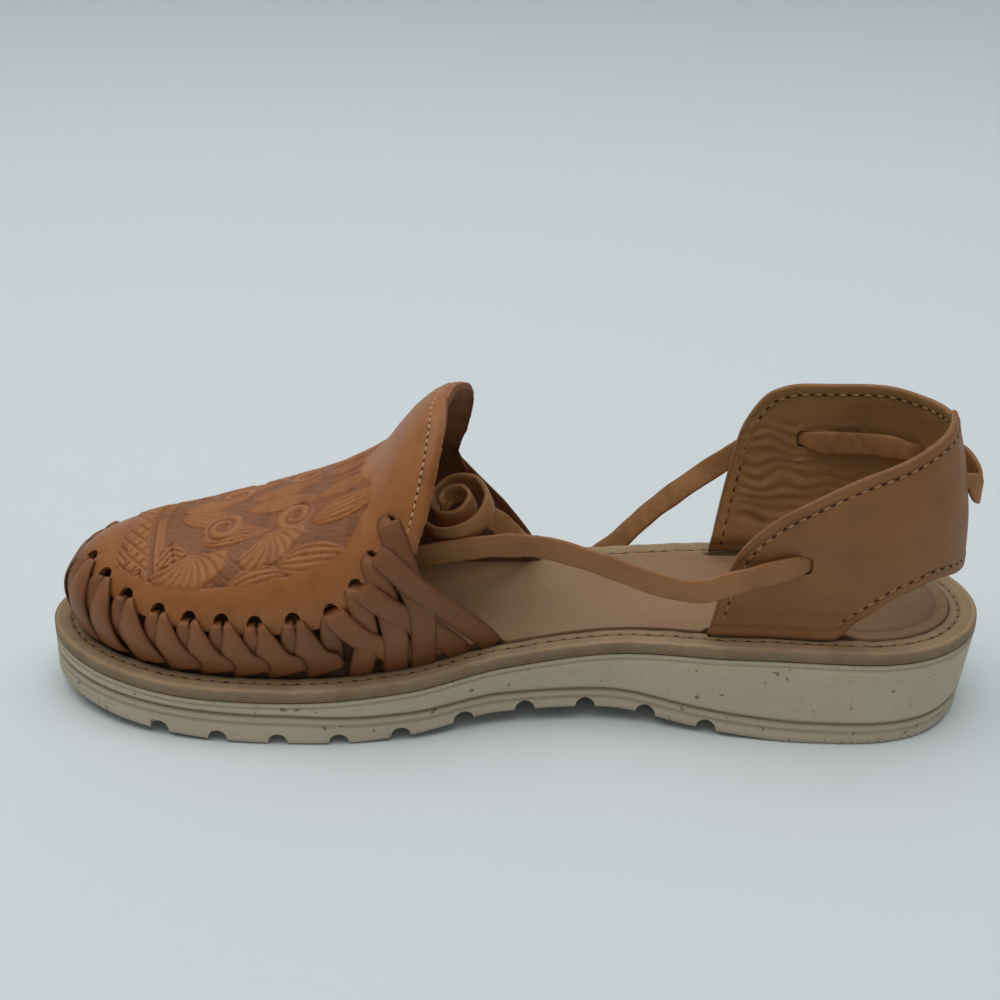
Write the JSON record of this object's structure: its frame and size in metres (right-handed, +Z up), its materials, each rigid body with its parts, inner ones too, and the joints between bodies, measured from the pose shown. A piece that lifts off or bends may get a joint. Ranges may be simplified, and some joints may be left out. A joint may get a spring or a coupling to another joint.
{
  "type": "huarache sandal",
  "caption": "Leather sandal for a right foot: closed tooled vamp with woven sides, open waist, slotted heel strap with a flat lace, on a welted moulded wedge sole.",
  "frame": {"origin": "on the ground under the middle of the sandal's bounding box", "axes": "+X to the toe, +Y to the inner side of the foot, +Z up; the sole stands on z = 0"},
  "size_m": [0.255, 0.0872, 0.0865],
  "materials": {
    "sole": "cream moulded sole, matte",
    "welt": "tan-brown welt with pale stitches",
    "insole": "natural vegetable-tanned leather",
    "upper": "tan tooled leather with a soft sheen",
    "strap": "tan-brown leather with a khaki-tan lining",
    "lace": "flat leather thong"
  },
  "bodies": {
    "root": {"sole": "sole", "welt": "welt", "insole": "insole", "upper": "upper", "heel_strap": "strap", "lace_near_run": "lace", "lace_loop": "lace", "lace_far_run": "lace", "lace_inner_bar": "lace", "lace_outer_bar": "lace", "lace_back_bar": "lace"}
  },
  "joints": []
}
